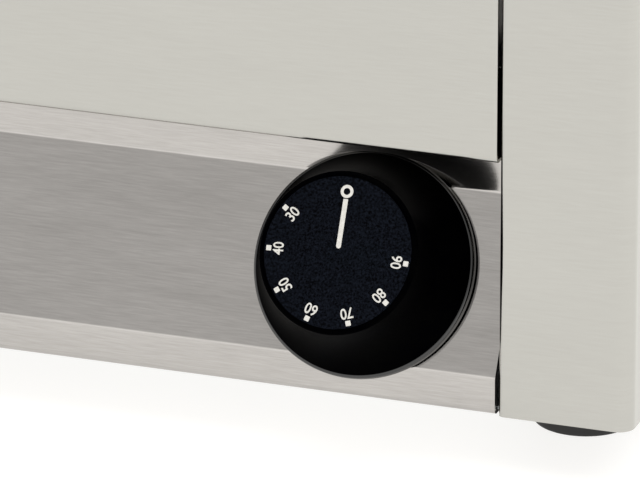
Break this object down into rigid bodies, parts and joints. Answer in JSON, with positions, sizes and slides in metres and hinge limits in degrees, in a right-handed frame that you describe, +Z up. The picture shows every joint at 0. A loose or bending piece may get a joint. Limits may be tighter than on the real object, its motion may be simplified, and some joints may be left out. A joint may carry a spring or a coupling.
{
  "type": "countertop bain-marie",
  "caption": "Stainless steel countertop wet-well bain-marie for a full-size gastronorm pan, with sloping control panel, thermostat knob, immersion element and rear drain valve.",
  "frame": {"origin": "on the worktop, under the middle of the whole object's box", "axes": "+Z up, -Y towards the user and the control knob, +X to the user's right"},
  "size_m": [0.3574, 0.6818, 0.255],
  "materials": {
    "brushed_steel": "brushed along the sheet",
    "galvanised_base": "satin",
    "drawn_steel": "satin, deep drawn",
    "stainless_small": "satin",
    "copper_capillary": "drawn copper",
    "zinc_screws": "bright zinc",
    "nickel_brass": "nickel plated",
    "black_phenolic": "moulded, satin gloss",
    "black_dial": "fine grained",
    "black_rubber": "moulded",
    "white_nylon": "moulded",
    "black_nylon": "moulded",
    "steel_ceramic": "pressed steel and ceramic",
    "red_button": "moulded",
    "blue_vinyl": "dipped vinyl",
    "silicone_sleeve": "woven sleeve"
  },
  "bodies": {
    "casing": {"base_plate": "galvanised_base", "base_screws": "zinc_screws", "bulb_gland": "stainless_small", "cable_gland": "black_nylon", "capillary_tube": "copper_capillary", "control_panel": "brushed_steel", "cutout_nut": "zinc_screws", "drain_locknut": "nickel_brass", "drain_outlet": "stainless_small", "drain_pipe": "stainless_small", "earth_nut": "zinc_screws", "earth_stud": "stainless_small", "foot_front_left": "black_rubber", "foot_front_right": "black_rubber", "foot_rear_left": "black_rubber", "foot_rear_right": "black_rubber", "foot_screws": "zinc_screws", "front_apron": "brushed_steel", "front_screws": "zinc_screws", "gland_locknut": "black_nylon", "heater_glands": "stainless_small", "heater_supports": "stainless_small", "heating_element": "stainless_small", "left_side_panel": "brushed_steel", "rear_panel": "brushed_steel", "rear_screws": "zinc_screws", "right_side_panel": "brushed_steel", "safety_cutout": "black_nylon", "terminal_block": "white_nylon", "thermostat_body": "steel_ceramic", "thermostat_bulb": "stainless_small", "thermostat_screws": "zinc_screws", "top_deck": "brushed_steel", "valve_body": "nickel_brass", "well_tank": "drawn_steel", "wiring_loom": "silicone_sleeve"},
    "knob": {"control_knob": "black_phenolic", "dial_disc": "black_dial", "thermostat_shaft": "stainless_small"},
    "drain_lever_body": {"drain_lever": "stainless_small", "lever_grip": "blue_vinyl", "lever_nut": "zinc_screws", "valve_stem": "stainless_small", "valve_ball": "stainless_small"},
    "reset": {"reset_button": "red_button"}
  },
  "joints": [
    {"name": "knob_turn", "type": "hinge", "parent": "casing", "child": "knob", "pos_m": [0.0887, -0.30312, 0.05589], "axis": [0, 0.8872, -0.4614], "range_deg": [0, 270]},
    {"name": "drain_turn", "type": "hinge", "parent": "casing", "child": "drain_lever_body", "pos_m": [-0.06, 0.29992, 0.058], "axis": [0, 0, 1], "range_deg": [0, 90]},
    {"name": "reset_press", "type": "slide", "parent": "casing", "child": "reset", "axis": [0, -1, 0], "range_m": [0, 0.0015], "stiffness_N_per_m": 400}
  ]
}
